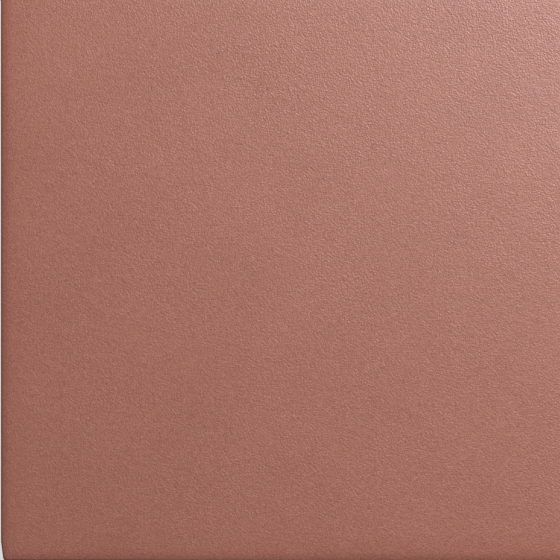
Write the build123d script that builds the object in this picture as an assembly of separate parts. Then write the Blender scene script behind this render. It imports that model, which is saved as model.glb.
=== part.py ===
from build123d import *
from math import ceil, radians, sin
import os

# Square floor tile of dust-pressed porcelain, fired in one piece.
# It lies on its back on the plane z = 0 with the wear face up, centred on the z axis.
# All sizes are in millimetres and all angles in degrees.

# Overall size, from edge to edge and from the back to the top of the wear face
face_size = 200.0
thickness = 8.5
corner_radius = 1.4

# Lower part of the edge, drawn in towards the back so that the tile leaves its mould
draw_height = 2.4
draw_inset = 0.8
back_arris_radius = 0.4

# Cushioned margin of the wear face, a broad crown with a soft bevel on it, down to a rounded rim
crown_width = 12.0
crown_drop = 0.55
crown_power = 2.5
bevel_width = 4.2
bevel_drop = 0.8
bevel_power = 2.8
rim_radius = 0.8
margin_sections = 11
margin_crowding = 1.25

# Keyed back, a honeycomb of shallow pockets between raised ribs, inside a plain border
pocket_columns = 11
back_border = 9.0
rib_width = 2.6
pocket_depth = 0.7
pocket_draft = 30.0

# Spacing of the honeycomb, whose middle row has whole pockets from border to border
pocket_pitch = (face_size - 2 * back_border) / pocket_columns
row_pitch = pocket_pitch * sin(radians(60))
field_size = face_size - 2 * back_border - rib_width
rows_each_way = ceil(field_size / 2 / row_pitch)


def outline(inset):
    """Plan of the tile drawn in by an inset, its corners rounder the further in it lies."""
    side = face_size - 2 * inset
    return RectangleRounded(side, side, corner_radius + inset)


def margin_height(inset):
    """Height of the wear face at a distance in from the edge, before the rim is rounded."""
    crown = crown_drop * max(0, 1 - inset / crown_width) ** crown_power
    bevel = bevel_drop * max(0, 1 - inset / bevel_width) ** bevel_power
    return thickness - crown - bevel


def pressed_body():
    """Tile with its drawn edge, upright side band and cushioned face, before the back is keyed.

    The sections of the margin crowd together towards the rim, where it falls fastest.
    """
    shoulder_height = margin_height(0)
    drawn = loft([outline(draw_inset), Pos(0, 0, draw_height) * outline(0)], ruled=True)
    band = Pos(0, 0, draw_height) * extrude(outline(0), amount=shoulder_height - draw_height)
    sections = []
    for step in range(margin_sections):
        inset = crown_width * (step / (margin_sections - 1)) ** margin_crowding
        sections.append(Pos(0, 0, margin_height(inset)) * outline(inset))
    margin = loft(sections)
    return drawn + band + margin


def rounded_rim(body):
    """Body with the rim of its wear face rounded, and the arris of its back eased."""
    shoulder = body.edges().filter_by_position(Axis.Z, margin_height(0), margin_height(0))
    body = fillet(shoulder, rim_radius)
    arris = body.edges().filter_by_position(Axis.Z, 0, 0)
    return fillet(arris, back_arris_radius)


def back_pockets():
    """The pockets pressed into the back, cut off at its border and narrowing as they go in."""
    mouth = RegularPolygon((pocket_pitch - rib_width) / 2, 6, major_radius=False, rotation=30)
    field = Rectangle(field_size, field_size)
    pockets = []
    for row in range(-rows_each_way, rows_each_way + 1):
        columns = pocket_columns + row % 2
        for column in range(columns):
            across = (column - (columns - 1) / 2) * pocket_pitch
            cut_mouth = Pos(across, row * row_pitch) * mouth & field
            if cut_mouth.area > rib_width**2:
                pockets.append(extrude(cut_mouth, amount=pocket_depth, taper=pocket_draft))
    return pockets


tile_body = rounded_rim(pressed_body()) - back_pockets()
tile_body.label = "tile_body"

os.makedirs("parts", exist_ok=True)
export_step(tile_body, "parts/tile_body.step")
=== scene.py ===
import math

import bmesh
import bpy
import numpy as np
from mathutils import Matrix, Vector


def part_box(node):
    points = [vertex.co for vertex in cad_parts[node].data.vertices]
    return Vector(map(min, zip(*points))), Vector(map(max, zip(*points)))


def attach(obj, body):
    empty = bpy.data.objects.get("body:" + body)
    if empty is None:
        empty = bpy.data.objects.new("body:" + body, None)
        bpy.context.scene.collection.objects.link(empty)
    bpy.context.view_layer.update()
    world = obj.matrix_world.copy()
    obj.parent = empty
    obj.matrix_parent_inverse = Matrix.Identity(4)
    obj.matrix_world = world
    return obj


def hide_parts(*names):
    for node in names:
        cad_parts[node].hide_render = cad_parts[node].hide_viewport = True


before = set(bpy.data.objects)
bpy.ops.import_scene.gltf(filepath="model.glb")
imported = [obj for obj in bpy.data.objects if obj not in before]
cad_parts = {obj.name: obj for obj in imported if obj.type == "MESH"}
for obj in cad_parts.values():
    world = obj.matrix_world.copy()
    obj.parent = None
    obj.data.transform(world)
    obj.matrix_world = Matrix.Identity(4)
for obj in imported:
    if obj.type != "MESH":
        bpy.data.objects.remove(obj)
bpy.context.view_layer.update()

# Square floor tile of dust-pressed porcelain, fired in one piece, lying on its back.
# All lengths are in metres. The frame gives the tile's size, and the sizes below give its shape.

MM = 0.001

tile_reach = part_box("tile_body")[1]
half_side = tile_reach.x
tile_top = tile_reach.z

# Cushioned margin of the wear face, a broad crown and a soft bevel on top of it, and its rounded rim
crown_width = 12.0 * MM
crown_drop = 0.55 * MM
crown_power = 2.5
bevel_width = 4.2 * MM
bevel_drop = 0.8 * MM
bevel_power = 2.8
rim_radius = 0.8 * MM

corner_radius = 1.0 * MM

# Near left corner, towards which the left side leans in
lean_length = 6.9 * MM
lean_depth = 0.85 * MM
lean_reach = 14.0 * MM

# Pressed grain and slight waves of the wear face, and the share of them that the upright edge has
grain_size = 2.0 * MM
grain_depth = 0.046 * MM
wave_size = 9.0 * MM
wave_depth = 0.055 * MM
relief_seed = 7.0
edge_grain = 0.5

# Bend past which an edge of the mesh stays sharp
crease_angle = math.radians(24)

# Line where the dressed face joins the pressed back, and the band below it that bridges the two
join_height = 2.7 * MM
join_band = 0.15 * MM

# Points of the CAD body's mesh that lie closer than this are one point
merge_distance = 0.001 * MM

# Rings of the dressed face, from its join up the edge, over the rim, over the margin and on to the middle
edge_rings = 6
rim_rings = 6
margin_rings = 20
level_rings = 117

# Points round each half of a corner of the outline
corner_steps = 9

# Band inside the margin over which the rings turn from the tile's outline to plain squares
blend_width = 2 * crown_width

# Foot of the wear face, as an inset on the rim, and the band below it in which the darker side colour,
# painted shade of the rim, takes over
face_foot_inset = 0.78 * rim_radius
face_foot_band = 0.05 * MM

# Heights between which the bare clay of the back gives way to the darker colour of the sides, which is
# painted shade
side_shade_start = 0.8 * MM
side_shade_full = 1.6 * MM

# Colours of the fired clay, and the darker colours of its sides and rim, which are painted shade
dark_clay = (0.180, 0.037, 0.019, 1)
light_clay = (0.359, 0.133, 0.100, 1)
brown_clay = (0.256, 0.088, 0.049, 1)
pale_fleck = (0.42, 0.22, 0.16, 1)
# Painted shade: the sides and rim are coloured darker to stand in for the shade that falls on them
dark_side_shade = (0.130, 0.020, 0.006, 1)
light_side_shade = (0.200, 0.036, 0.014, 1)

# Noise keeps to the middle of its range, so lumps and specks are stretched from between these values
lump_floor = 0.3
lump_ceiling = 0.7
speck_floor = 0.2
speck_ceiling = 0.8

# Patterns in the colour, with how much each one counts
cloud_size = 28 * MM
cloud_share = 0.12
speck_size = 0.55 * MM
speck_share = 0.88
tint_size = 4.5 * MM
tint_share = 0.5
fleck_size = 1.6 * MM
fleck_share = 0.15
fleck_start = 0.70
fleck_full = 0.78

# Finest grain, whose depth varies from patch to patch
fine_grain_size = 0.52 * MM
fine_grain_depth = 0.128 * MM
patch_size = 30 * MM
shallow_patch = 0.85
deep_patch = 1.15

# Roughness of the wear face, from its glossiest to its dullest spots, and of the sides
gloss_size = 2.2 * MM
glossy_roughness = 0.47
dull_roughness = 0.53
side_roughness = 0.8
specular_level = 0.8

# Camera, its yaw in degrees, and the tile's side and its left and near edges in pixels of the frame
camera_lens = 135.0
camera_sensor = 36.0
frame_pixels = 560.0
camera_yaw = 1.25
tile_pixels = 584.0
left_edge_pixel = -0.8
near_edge_pixel = 562.35

# Key lamp, with its turn from +X and its rise above the floor in degrees
lamp_turn = 50.0
lamp_rise = 48.0
lamp_distance = 1.15
lamp_size = 0.5
lamp_power = 19.7

# Sky, as it lights the scene, as it shows in a sheen and as the camera sees it
sky_strength = 0.18
mirrored_sky = 0.48
seen_sky = 0.80
sky_colour = (1, 1, 1, 1)
seen_sky_colour = (1, 1, 0.985, 1)

# Floor, as it is lit, and as the camera and a sheen mostly see it
floor_reach = 3.0
floor_colour = (0.80, 0.80, 0.79, 1)
floor_roughness = 0.9
seen_floor_colour = (0.86, 0.86, 0.85, 1)
seen_floor_share = 0.75


# Section across the margin

def margin_height(inset):
    """Height of the wear face at a distance in from the edge, before the rim is rounded."""
    crown = crown_drop * max(0, 1 - inset / crown_width) ** crown_power
    bevel = bevel_drop * max(0, 1 - inset / bevel_width) ** bevel_power
    return tile_top - crown - bevel


def margin_slope(inset):
    """How steeply the wear face rises there."""
    crown = crown_drop * crown_power / crown_width * max(0, 1 - inset / crown_width) ** (crown_power - 1)
    bevel = bevel_drop * bevel_power / bevel_width * max(0, 1 - inset / bevel_width) ** (bevel_power - 1)
    return crown + bevel


# Inset at which the rounding of the rim runs into the wear face, and height of its centre
settling_steps = 30
rim_end = rim_radius
for step in range(settling_steps):
    rim_end = rim_radius * (1 - math.sin(math.atan(margin_slope(rim_end))))
rim_centre = margin_height(rim_end) - rim_radius * math.cos(math.atan(margin_slope(rim_end)))

# What the shaping tree is given
shaping_sizes = {
    "Top": tile_top,
    "Crown width": crown_width,
    "Crown drop": crown_drop,
    "Crown power": crown_power,
    "Bevel width": bevel_width,
    "Bevel drop": bevel_drop,
    "Bevel power": bevel_power,
    "Rim radius": rim_radius,
    "Rim end": rim_end,
    "Rim centre": rim_centre,
    "Half side": half_side,
    "Lean length": lean_length,
    "Lean depth": lean_depth,
    "Lean reach": lean_reach,
    "Grain size": grain_size,
    "Grain depth": grain_depth,
    "Wave size": wave_size,
    "Wave depth": wave_depth,
    "Crease angle": crease_angle,
    "Seed": relief_seed,
}


# Building blocks

def add_node(tree, kind, inputs=None, **settings):
    """A node of that kind in the tree, with its settings and what each input is given or linked to."""
    made = tree.nodes.new(kind)
    for name, value in settings.items():
        setattr(made, name, value)
    for name, value in (inputs or {}).items():
        if isinstance(value, bpy.types.NodeSocket):
            tree.links.new(value, made.inputs[name])
        else:
            made.inputs[name].default_value = value
    return made


def math_node(tree, operation, first, second=0.0, clamp=False):
    """The result of one sum in the tree."""
    sum_of = {0: first, 1: second}
    return add_node(tree, "ShaderNodeMath", sum_of, operation=operation, use_clamp=clamp).outputs[0]


def share_left(tree, distance, whole):
    """How much of a length is still left at a distance along it, from 1 at its start to 0."""
    return math_node(tree, "SUBTRACT", 1.0, math_node(tree, "DIVIDE", distance, whole), clamp=True)


def add_object(name, data):
    """An object in the scene for a mesh, a lamp or a camera."""
    made = bpy.data.objects.new(name, data)
    bpy.context.scene.collection.objects.link(made)
    return made


# Plan of the tile

def eighth_of_outline(inset):
    """Points of the outline, drawn in by an inset, from the middle of the right side to its upper corner."""
    half = half_side - inset
    radius = corner_radius + inset
    turn = np.linspace(0, math.pi / 4, corner_steps)
    corner = half - radius + radius * np.stack([np.cos(turn), np.sin(turn)], axis=1)
    return np.concatenate([[[half, 0]], corner])


def spread_along(points, count):
    """That many steps of equal length along a line of points."""
    steps = np.linalg.norm(np.diff(points, axis=0), axis=1)
    along = np.concatenate([[0], np.cumsum(steps)])
    wanted = np.linspace(0, along[-1], count + 1)
    return np.stack([np.interp(wanted, along, points[:, side]) for side in (0, 1)], axis=1)


def ring_schedule():
    """Inset and height of each ring of the dressed face, from the middle outwards."""
    level = np.linspace(half_side, crown_width, level_rings + 1)
    margin = np.linspace(crown_width, rim_end, margin_rings + 1)[1:]
    turn = np.linspace(math.acos(1 - rim_end / rim_radius), 0, rim_rings + 1)[1:]
    rim = rim_radius * (1 - np.cos(turn))
    wall = np.linspace(rim_centre, join_height, edge_rings + 1)[1:]
    insets = np.concatenate([level, margin, rim, np.zeros(edge_rings)])
    heights = np.concatenate([np.full(len(insets) - edge_rings - 1, tile_top), [rim_centre], wall])
    return insets, heights


def eighth_of_ring(inset, steps):
    """Points along an eighth of one ring, which follows the tile's outline and, further in, a square."""
    half = half_side - inset
    square = np.stack([np.full(steps + 1, half), np.linspace(0, half, steps + 1)], axis=1)
    if not steps:
        return square
    eased_inset = min(inset, crown_width + blend_width)
    eased = spread_along(eighth_of_outline(eased_inset), steps) - (inset - eased_inset)
    keep = np.clip((inset - crown_width) / blend_width, 0, 1)
    return square * keep + eased * (1 - keep)


def ring_grain(inset, height):
    """Share of the grain that a ring has, more the higher up the edge and the further over the bevel."""
    if inset > 0:
        return min(1.0, edge_grain + inset / bevel_width * (1 - edge_grain))
    return edge_grain * (height - join_height) / (rim_centre - join_height)


def level_cap():
    """The dressed face as a mesh of rings, with each point's inset and share of grain.

    Its rim and margin are still level: the shaping tree lowers them by each point's inset.
    """
    insets, heights = ring_schedule()
    rings = len(insets) - 1
    across = 2 * rings + 1
    places = np.zeros((across, across, 3))
    inset_of = np.zeros((across, across))
    grain_of = np.zeros((across, across))
    for ring in range(rings + 1):
        grain = ring_grain(insets[ring], heights[ring])
        for step, (far, near) in enumerate(eighth_of_ring(insets[ring], ring)):
            for i, j, x, y in ((ring, step, far, near), (step, ring, near, far)):
                for sign_x in (-1, 1):
                    for sign_y in (-1, 1):
                        spot = rings + sign_x * i, rings + sign_y * j
                        places[spot] = sign_x * x, sign_y * y, heights[ring]
                        inset_of[spot] = insets[ring]
                        grain_of[spot] = grain
    numbers = np.arange(across * across).reshape(across, across)
    corners = numbers[:-1, :-1], numbers[1:, :-1], numbers[1:, 1:], numbers[:-1, 1:]
    quads = np.stack(corners, axis=2).reshape(-1, 4)
    cap = bpy.data.meshes.new("level_cap")
    cap.from_pydata(places.reshape(-1, 3), [], quads.tolist())
    for name, values in (("inset", inset_of), ("grain", grain_of)):
        cap.attributes.new(name, "FLOAT", "POINT").data.foreach_set("value", values.ravel())
    return cap


def cut_across(solid, spot, way, clear_outer=False):
    """Cut a solid's mesh on the plane through a spot and square to a way, and clear the far side if asked."""
    whole = solid.verts[:] + solid.edges[:] + solid.faces[:]
    bmesh.ops.bisect_plane(solid, geom=whole, plane_co=spot, plane_no=way, clear_outer=clear_outer)


def tile_blank():
    """Closed tile whose back and lower edge are the CAD body's, and whose cap is the level dressed face."""
    solid = bmesh.new()
    solid.from_mesh(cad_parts["tile_body"].data)
    bmesh.ops.remove_doubles(solid, verts=solid.verts, dist=merge_distance)
    cut_across(solid, (0, 0, join_height - join_band), (0, 0, 1), clear_outer=True)
    for way, start in (((1, 0, 0), lean_reach), ((0, 1, 0), lean_length)):
        cut_across(solid, Vector(way) * (start - half_side), way)
    solid.from_mesh(level_cap())
    rims = [edge for edge in solid.edges if edge.is_boundary]
    bmesh.ops.bridge_loops(solid, edges=rims)
    blank = bpy.data.meshes.new("tile_blank")
    solid.to_mesh(blank)
    solid.free()
    blank.attributes.remove(blank.attributes["custom_normal"])
    return blank


# Shape of the wear face

def cushioned_height(tree, given, inset):
    """Height of the wear face by inset, crowned and bevelled, and rounded at its rim."""
    margin = given["Top"]
    for form in ("Crown", "Bevel"):
        left = share_left(tree, inset, given[form + " width"])
        fallen = math_node(tree, "POWER", left, given[form + " power"])
        drop = math_node(tree, "MULTIPLY", fallen, given[form + " drop"])
        margin = math_node(tree, "SUBTRACT", margin, drop)
    short = math_node(tree, "MAXIMUM", math_node(tree, "SUBTRACT", given["Rim radius"], inset))
    radius_squared = math_node(tree, "POWER", given["Rim radius"], 2.0)
    short_squared = math_node(tree, "POWER", short, 2.0)
    rise = math_node(tree, "SQRT", math_node(tree, "SUBTRACT", radius_squared, short_squared))
    arc = math_node(tree, "ADD", given["Rim centre"], rise)
    on_rim = math_node(tree, "LESS_THAN", inset, given["Rim end"])
    return add_node(tree, "ShaderNodeMix", {"Factor": on_rim, "A": margin, "B": arc}).outputs["Result"]


def corner_lean(tree, given, flat):
    """How far the left side stands in, most at the near left corner."""
    lean = given["Lean depth"]
    for side, start in (("X", "Lean reach"), ("Y", "Lean length")):
        from_side = math_node(tree, "ADD", flat[side], given["Half side"])
        lean = math_node(tree, "MULTIPLY", lean, share_left(tree, from_side, given[start]))
    return lean


def pressed_relief(tree, given, place):
    """Depth of the grain and the waves, which only ever sink the face."""
    relief = 0.0
    for form in ("Grain", "Wave"):
        per_metre = math_node(tree, "DIVIDE", 1.0, given[form + " size"])
        lumps = add_node(
            tree,
            "ShaderNodeTexNoise",
            {"Vector": place, "W": given["Seed"], "Scale": per_metre, "Detail": 0.0},
            noise_dimensions="4D",
        ).outputs["Fac"]
        below_top = math_node(tree, "SUBTRACT", lumps, 1.0)
        sunk = math_node(tree, "MULTIPLY", below_top, given[form + " depth"])
        relief = math_node(tree, "ADD", sunk, relief)
    return relief


def point_value(tree, name):
    """What the mesh holds under that name for each of its points."""
    held = add_node(tree, "GeometryNodeInputNamedAttribute", {"Name": name}, data_type="FLOAT")
    return held.outputs["Attribute"]


def moved(tree, geometry, **moves):
    """The geometry with its points moved to a position or by an offset."""
    return add_node(tree, "GeometryNodeSetPosition", {"Geometry": geometry, **moves}).outputs["Geometry"]


def shaping_tree():
    """Tree that rounds the rim, crowns the margin, leans the corner in and raises the grain."""
    tree = bpy.data.node_groups.new("wear_face_shaping", "GeometryNodeTree")
    tree.interface.new_socket("Tile", in_out="INPUT", socket_type="NodeSocketGeometry")
    for name in shaping_sizes:
        tree.interface.new_socket(name, in_out="INPUT", socket_type="NodeSocketFloat")
    tree.interface.new_socket("Finish", in_out="INPUT", socket_type="NodeSocketMaterial")
    tree.interface.new_socket("Tile", in_out="OUTPUT", socket_type="NodeSocketGeometry")
    given = tree.nodes.new("NodeGroupInput").outputs
    inset = point_value(tree, "inset")
    grain = point_value(tree, "grain")
    place = add_node(tree, "GeometryNodeInputPosition").outputs["Position"]
    flat = add_node(tree, "ShaderNodeSeparateXYZ", {"Vector": place}).outputs

    height = cushioned_height(tree, given, inset)
    spot = {"X": flat["X"], "Y": flat["Y"], "Z": height}
    shaped = add_node(tree, "ShaderNodeCombineXYZ", spot).outputs["Vector"]
    on_face = math_node(tree, "GREATER_THAN", inset, 0.0)
    crowned = moved(tree, given["Tile"], Selection=on_face, Position=shaped)

    lean = corner_lean(tree, given, flat)
    inwards = add_node(tree, "ShaderNodeCombineXYZ", {"X": lean}).outputs["Vector"]
    leaning = moved(tree, crowned, Offset=inwards)

    relief = math_node(tree, "MULTIPLY", pressed_relief(tree, given, place), grain)
    outward = add_node(tree, "GeometryNodeInputNormal").outputs["Normal"]
    push = add_node(tree, "ShaderNodeVectorMath", {0: outward, "Scale": relief}, operation="SCALE")
    grained = moved(tree, leaning, Offset=push.outputs["Vector"])

    smooth = add_node(tree, "GeometryNodeSetShadeSmooth", {"Geometry": grained}).outputs["Geometry"]
    bend = add_node(tree, "GeometryNodeInputMeshEdgeAngle").outputs["Unsigned Angle"]
    sharp = math_node(tree, "GREATER_THAN", bend, given["Crease angle"])
    creased = add_node(
        tree,
        "GeometryNodeSetShadeSmooth",
        {"Geometry": smooth, "Selection": sharp, "Shade Smooth": False},
        domain="EDGE",
    ).outputs["Geometry"]
    real = add_node(tree, "GeometryNodeRealizeInstances", {"Geometry": creased}).outputs["Geometry"]
    finished = add_node(tree, "GeometryNodeSetMaterial", {"Geometry": real, "Material": given["Finish"]})
    add_node(tree, "NodeGroupOutput", {"Tile": finished.outputs["Geometry"]})
    return tree


def dressed_tile(finish):
    """The finished tile as one plain mesh."""
    rough = add_object("tile_rough", tile_blank())
    shaping = rough.modifiers.new("wear_face_shaping", "NODES")
    shaping.node_group = shaping_tree()
    for item in shaping.node_group.interface.items_tree:
        if item.name in shaping_sizes:
            shaping[item.identifier] = shaping_sizes[item.name]
        elif item.name == "Finish":
            shaping[item.identifier] = finish
    graph = bpy.context.evaluated_depsgraph_get()
    mesh = bpy.data.meshes.new_from_object(rough.evaluated_get(graph))
    bpy.data.objects.remove(rough)
    mesh.name = "fired_tile"
    for name in ("inset", "grain"):
        mesh.attributes.remove(mesh.attributes[name])
    return add_object("fired_tile", mesh)


# Finish of the fired body

def noise_node(tree, place, size, detail, seed):
    """Lumps of about that size, from 0 to 1, spread through the body."""
    return add_node(
        tree,
        "ShaderNodeTexNoise",
        {"Vector": place, "W": seed, "Scale": 1 / size, "Detail": detail},
        noise_dimensions="4D",
    ).outputs["Fac"]


def ramp(tree, value, low, high, to_low=0.0, to_high=1.0):
    """The value carried from one range to another, held at its ends."""
    return add_node(
        tree,
        "ShaderNodeMapRange",
        {"Value": value, "From Min": low, "From Max": high, "To Min": to_low, "To Max": to_high},
    ).outputs["Result"]


def spread_lumps(tree, lumps, to_low, to_high):
    """Broad lumps of noise stretched to a range."""
    return ramp(tree, lumps, lump_floor, lump_ceiling, to_low, to_high)


def mix_colour(tree, share, first, second):
    """Two colours mixed by a share."""
    mixed = tree.nodes.new("ShaderNodeMix")
    mixed.data_type = "RGBA"
    by_name = {socket.identifier: socket for socket in mixed.inputs}
    for name, value in (("Factor_Float", share), ("A_Color", first), ("B_Color", second)):
        if isinstance(value, bpy.types.NodeSocket):
            tree.links.new(value, by_name[name])
        else:
            by_name[name].default_value = value
    return next(socket for socket in mixed.outputs if socket.identifier == "Result_Color")


def body_colour(tree, place, level, wear_face):
    """Speckled reddish-brown clay, with a darker colour on the sides and rim as painted shade."""
    clouds = noise_node(tree, place, cloud_size, detail=3.0, seed=0.0)
    specks = noise_node(tree, place, speck_size, detail=1.0, seed=3.0)
    tone = math_node(
        tree,
        "ADD",
        spread_lumps(tree, clouds, 0.0, cloud_share),
        ramp(tree, specks, speck_floor, speck_ceiling, 0.0, speck_share),
    )
    tint = spread_lumps(tree, noise_node(tree, place, tint_size, detail=2.0, seed=13.0), 0.0, tint_share)
    clay = mix_colour(tree, tint, mix_colour(tree, tone, dark_clay, light_clay), brown_clay)
    flecks = ramp(tree, noise_node(tree, place, fleck_size, detail=1.0, seed=11.0), fleck_start, fleck_full)
    body = mix_colour(tree, math_node(tree, "MULTIPLY", flecks, fleck_share), clay, pale_fleck)
    # Painted shade: below the wear face the sides and rim take a darker colour in place of the shade on them
    painted_side_shade = mix_colour(tree, tone, dark_side_shade, light_side_shade)
    bare_back = ramp(tree, level, side_shade_start, side_shade_full, 1.0, 0.0)
    bare = math_node(tree, "MAXIMUM", wear_face, bare_back)
    return mix_colour(tree, bare, painted_side_shade, body)


def fired_body():
    """Unglazed reddish-brown porcelain, satin where the press and the kiln have closed its grain."""
    material = bpy.data.materials.new("fired_body")
    material.use_nodes = True
    tree = material.node_tree
    surface = tree.nodes["Principled BSDF"]
    place = add_node(tree, "ShaderNodeTexCoord").outputs["Object"]
    level = add_node(tree, "ShaderNodeSeparateXYZ", {"Vector": place}).outputs["Z"]
    face_foot = margin_height(face_foot_inset)
    # The wear face's foot bounds the satin roughness and, below it, the painted shade of the sides and rim
    wear_face = ramp(tree, level, face_foot - face_foot_band, face_foot)
    tree.links.new(body_colour(tree, place, level, wear_face), surface.inputs["Base Color"])

    patches = noise_node(tree, place, patch_size, detail=2.0, seed=5.0)
    fine = noise_node(tree, place, fine_grain_size, detail=0.0, seed=1.0)
    height = math_node(tree, "MULTIPLY", fine, spread_lumps(tree, patches, shallow_patch, deep_patch))
    bump = add_node(tree, "ShaderNodeBump", {"Height": height, "Distance": fine_grain_depth, "Strength": 1.0})
    tree.links.new(bump.outputs["Normal"], surface.inputs["Normal"])

    spots = noise_node(tree, place, gloss_size, detail=1.0, seed=9.0)
    gloss = spread_lumps(tree, spots, glossy_roughness, dull_roughness)
    rough = add_node(tree, "ShaderNodeMix", {"Factor": wear_face, "A": side_roughness, "B": gloss})
    tree.links.new(rough.outputs["Result"], surface.inputs["Roughness"])
    surface.inputs["Specular IOR Level"].default_value = specular_level
    return material


# Floor, light and camera

def pale_stage():
    """Pale floor under the tile, which keeps the tile's shadow."""
    material = bpy.data.materials.new("pale_floor")
    material.use_nodes = True
    tree = material.node_tree
    lit = tree.nodes["Principled BSDF"]
    lit.inputs["Base Color"].default_value = floor_colour
    lit.inputs["Roughness"].default_value = floor_roughness
    seen = add_node(tree, "ShaderNodeEmission", {"Color": seen_floor_colour, "Strength": 1.0})
    rays = add_node(tree, "ShaderNodeLightPath").outputs
    watched = math_node(tree, "ADD", rays["Is Camera Ray"], rays["Is Glossy Ray"], clamp=True)
    share = math_node(tree, "MULTIPLY", watched, seen_floor_share)
    both = add_node(tree, "ShaderNodeMixShader", {0: share, 1: lit.outputs[0], 2: seen.outputs[0]})
    tree.links.new(both.outputs[0], tree.nodes["Material Output"].inputs["Surface"])
    corners = [(x * floor_reach, y * floor_reach, 0) for x, y in ((-1, -1), (1, -1), (1, 1), (-1, 1))]
    mesh = bpy.data.meshes.new("floor")
    mesh.from_pydata(corners, [], [(0, 1, 2, 3)])
    mesh.materials.append(material)
    add_object("floor", mesh)


def soft_sky():
    """Even white light from all round, seen as a pale background."""
    world = bpy.data.worlds.new("soft_sky")
    world.use_nodes = True
    bpy.context.scene.world = world
    tree = world.node_tree
    light = tree.nodes["Background"]
    light.inputs["Color"].default_value = sky_colour
    light.inputs["Strength"].default_value = sky_strength
    rays = add_node(tree, "ShaderNodeLightPath").outputs
    glow = ramp(tree, rays["Is Camera Ray"], 0.0, 1.0, mirrored_sky, seen_sky)
    seen = add_node(tree, "ShaderNodeBackground", {"Color": seen_sky_colour, "Strength": glow})
    watched = math_node(tree, "ADD", rays["Is Camera Ray"], rays["Is Glossy Ray"], clamp=True)
    both = add_node(tree, "ShaderNodeMixShader", {0: watched, 1: light.outputs[0], 2: seen.outputs[0]})
    tree.links.new(both.outputs[0], tree.nodes["World Output"].inputs["Surface"])


def key_lamp():
    """Soft square lamp beyond the upper right corner of the tile."""
    light = bpy.data.lights.new("key_lamp", "AREA")
    light.shape = "SQUARE"
    light.size = lamp_size
    light.energy = lamp_power
    lamp = add_object("key_lamp", light)
    turn, rise = math.radians(lamp_turn), math.radians(lamp_rise)
    way = Vector((math.cos(turn) * math.cos(rise), math.sin(turn) * math.cos(rise), math.sin(rise)))
    lamp.location = way * lamp_distance
    lamp.rotation_euler = way.to_track_quat("Z", "Y").to_euler()
    lamp.visible_camera = False


def overhead_camera():
    """Long-lens camera almost straight above the tile, framed on its left and near edges."""
    data = bpy.data.cameras.new("camera")
    data.lens = camera_lens
    data.sensor_width = camera_sensor
    camera = add_object("camera", data)
    per_pixel = 2 * half_side / tile_pixels
    across = -half_side + (frame_pixels / 2 - left_edge_pixel) * per_pixel
    along = -half_side + (near_edge_pixel - frame_pixels / 2) * per_pixel
    half_view = math.atan(camera_sensor / 2 / camera_lens)
    distance = frame_pixels / 2 * per_pixel / math.tan(half_view)
    yaw = math.radians(camera_yaw)
    back = Vector((math.sin(yaw), 0, math.cos(yaw)))
    camera.rotation_euler = 0, yaw, 0
    camera.location = Vector((across, along, tile_top)) + back * distance
    bpy.context.scene.camera = camera


tile = dressed_tile(fired_body())
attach(tile, "root")
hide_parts("tile_body")
pale_stage()
soft_sky()
key_lamp()
overhead_camera()
bpy.context.scene.view_settings.view_transform = "Standard"
